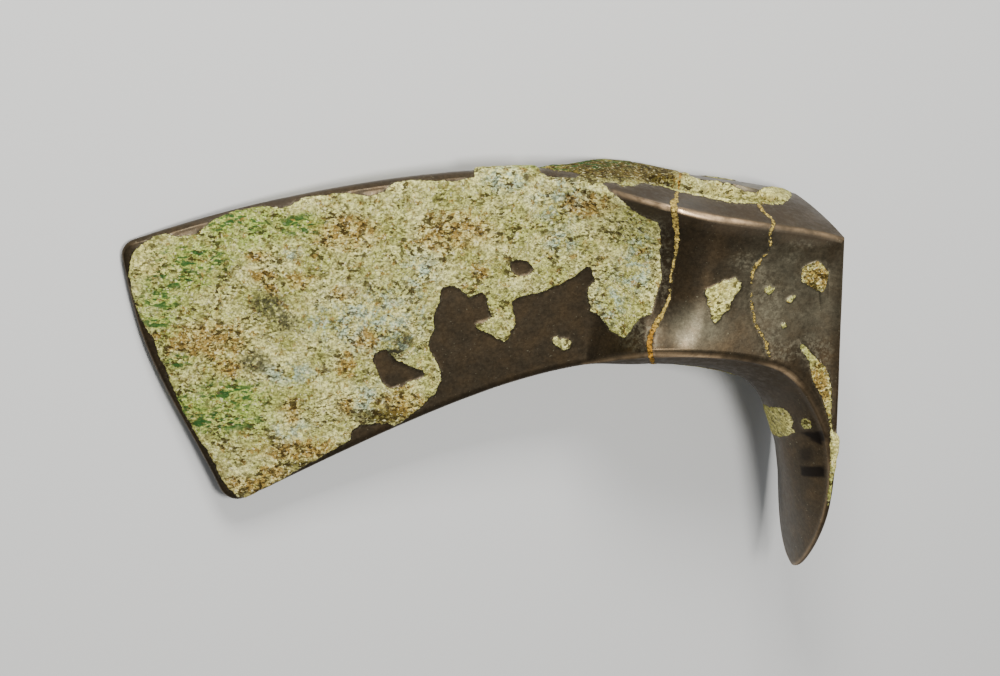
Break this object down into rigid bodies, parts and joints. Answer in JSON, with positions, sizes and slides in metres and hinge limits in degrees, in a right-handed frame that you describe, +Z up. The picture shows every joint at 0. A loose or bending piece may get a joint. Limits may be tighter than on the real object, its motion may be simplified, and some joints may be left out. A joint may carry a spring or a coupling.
{
  "type": "bronze axe-adze head",
  "caption": "Ancient cast bronze axe-adze head lying on its side: long flared blade, oval shaft hole and a down-turned adze tongue.",
  "frame": {"origin": "middle of the footprint, on the surface that the head lies on", "axes": "+X from the cutting edge towards the adze, +Y along the shaft hole towards its top face, +Z up, from the side the head lies on to the side that shows"},
  "size_m": [0.2274, 0.1324, 0.0507],
  "materials": {
    "bronze": "old cast bronze, dark brown and satin, with a thick pale green and cream corrosion crust over most of the blade"
  },
  "bodies": {
    "root": {"axe_head": "bronze"}
  },
  "joints": []
}
